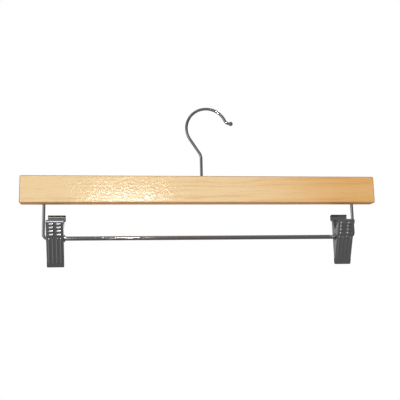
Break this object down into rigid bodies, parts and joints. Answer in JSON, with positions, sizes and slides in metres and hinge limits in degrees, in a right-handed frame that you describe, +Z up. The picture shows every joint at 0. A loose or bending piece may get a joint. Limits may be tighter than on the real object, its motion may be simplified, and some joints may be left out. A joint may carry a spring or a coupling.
{
  "type": "skirt hanger",
  "caption": "Straight wooden hanger with a swivel wire hook and sprung metal clips that slide and swing on a sleeved wire rail below the bar.",
  "frame": {"origin": "inside top of the hook's loop, where the rail seats", "axes": "+X along the wooden bar towards the side the hook opens to, +Y to the back, +Z up"},
  "size_m": [0.3556, 0.0256, 0.1615],
  "materials": {
    "maple": "clear lacquered pale hardwood",
    "chrome_wire": "bright plated steel wire",
    "chrome_tube": "bright plated thin tube",
    "chrome_sheet": "bright plated pressed sheet",
    "rivet_metal": "plated hollow rivet",
    "spring_steel": "drawn spring wire",
    "bush_metal": "turned steel bush",
    "pad_vinyl": "soft grooved vinyl"
  },
  "bodies": {
    "hook": {"hook": "chrome_wire"},
    "hanger": {"wood_bar": "maple", "hook_bush": "bush_metal", "clip_rail": "chrome_wire", "rail_sleeve": "chrome_tube"},
    "left_rivet": {"left_hinge_rivet": "rivet_metal"},
    "left_rear": {"left_rear_jaw": "chrome_sheet", "left_rear_pad": "pad_vinyl", "left_spring": "spring_steel"},
    "left_front": {"left_front_jaw": "chrome_sheet", "left_front_pad": "pad_vinyl"},
    "right_rivet": {"right_hinge_rivet": "rivet_metal"},
    "right_rear": {"right_rear_jaw": "chrome_sheet", "right_rear_pad": "pad_vinyl", "right_spring": "spring_steel"},
    "right_front": {"right_front_jaw": "chrome_sheet", "right_front_pad": "pad_vinyl"}
  },
  "joints": [
    {"name": "hook_swivel", "type": "hinge", "parent": "hook", "child": "hanger", "pos_m": [-0.0064, 0, -0.07], "axis": [0, 0, 1], "continuous": true},
    {"name": "left_clip_slide", "type": "slide", "parent": "hanger", "child": "left_rivet", "axis": [1, 0, 0], "range_m": [0, 0.13]},
    {"name": "left_clip_swing", "type": "hinge", "parent": "left_rivet", "child": "left_rear", "pos_m": [-0.1494, 0, -0.1314], "axis": [1, 0, 0], "continuous": true},
    {"name": "left_clip_open", "type": "hinge", "parent": "left_rear", "child": "left_front", "pos_m": [-0.1494, 0, -0.1314], "axis": [-1, 0, 0], "range_deg": [0, 40], "stiffness_Nm_per_rad": 0.127, "springref_deg": -68.75, "deforming": ["left_spring"]},
    {"name": "right_clip_slide", "type": "slide", "parent": "hanger", "child": "right_rivet", "axis": [-1, 0, 0], "range_m": [0, 0.13]},
    {"name": "right_clip_swing", "type": "hinge", "parent": "right_rivet", "child": "right_rear", "pos_m": [0.1366, 0, -0.1314], "axis": [1, 0, 0], "continuous": true},
    {"name": "right_clip_open", "type": "hinge", "parent": "right_rear", "child": "right_front", "pos_m": [0.1366, 0, -0.1314], "axis": [-1, 0, 0], "range_deg": [0, 40], "stiffness_Nm_per_rad": 0.127, "springref_deg": -68.75, "deforming": ["right_spring"]}
  ]
}
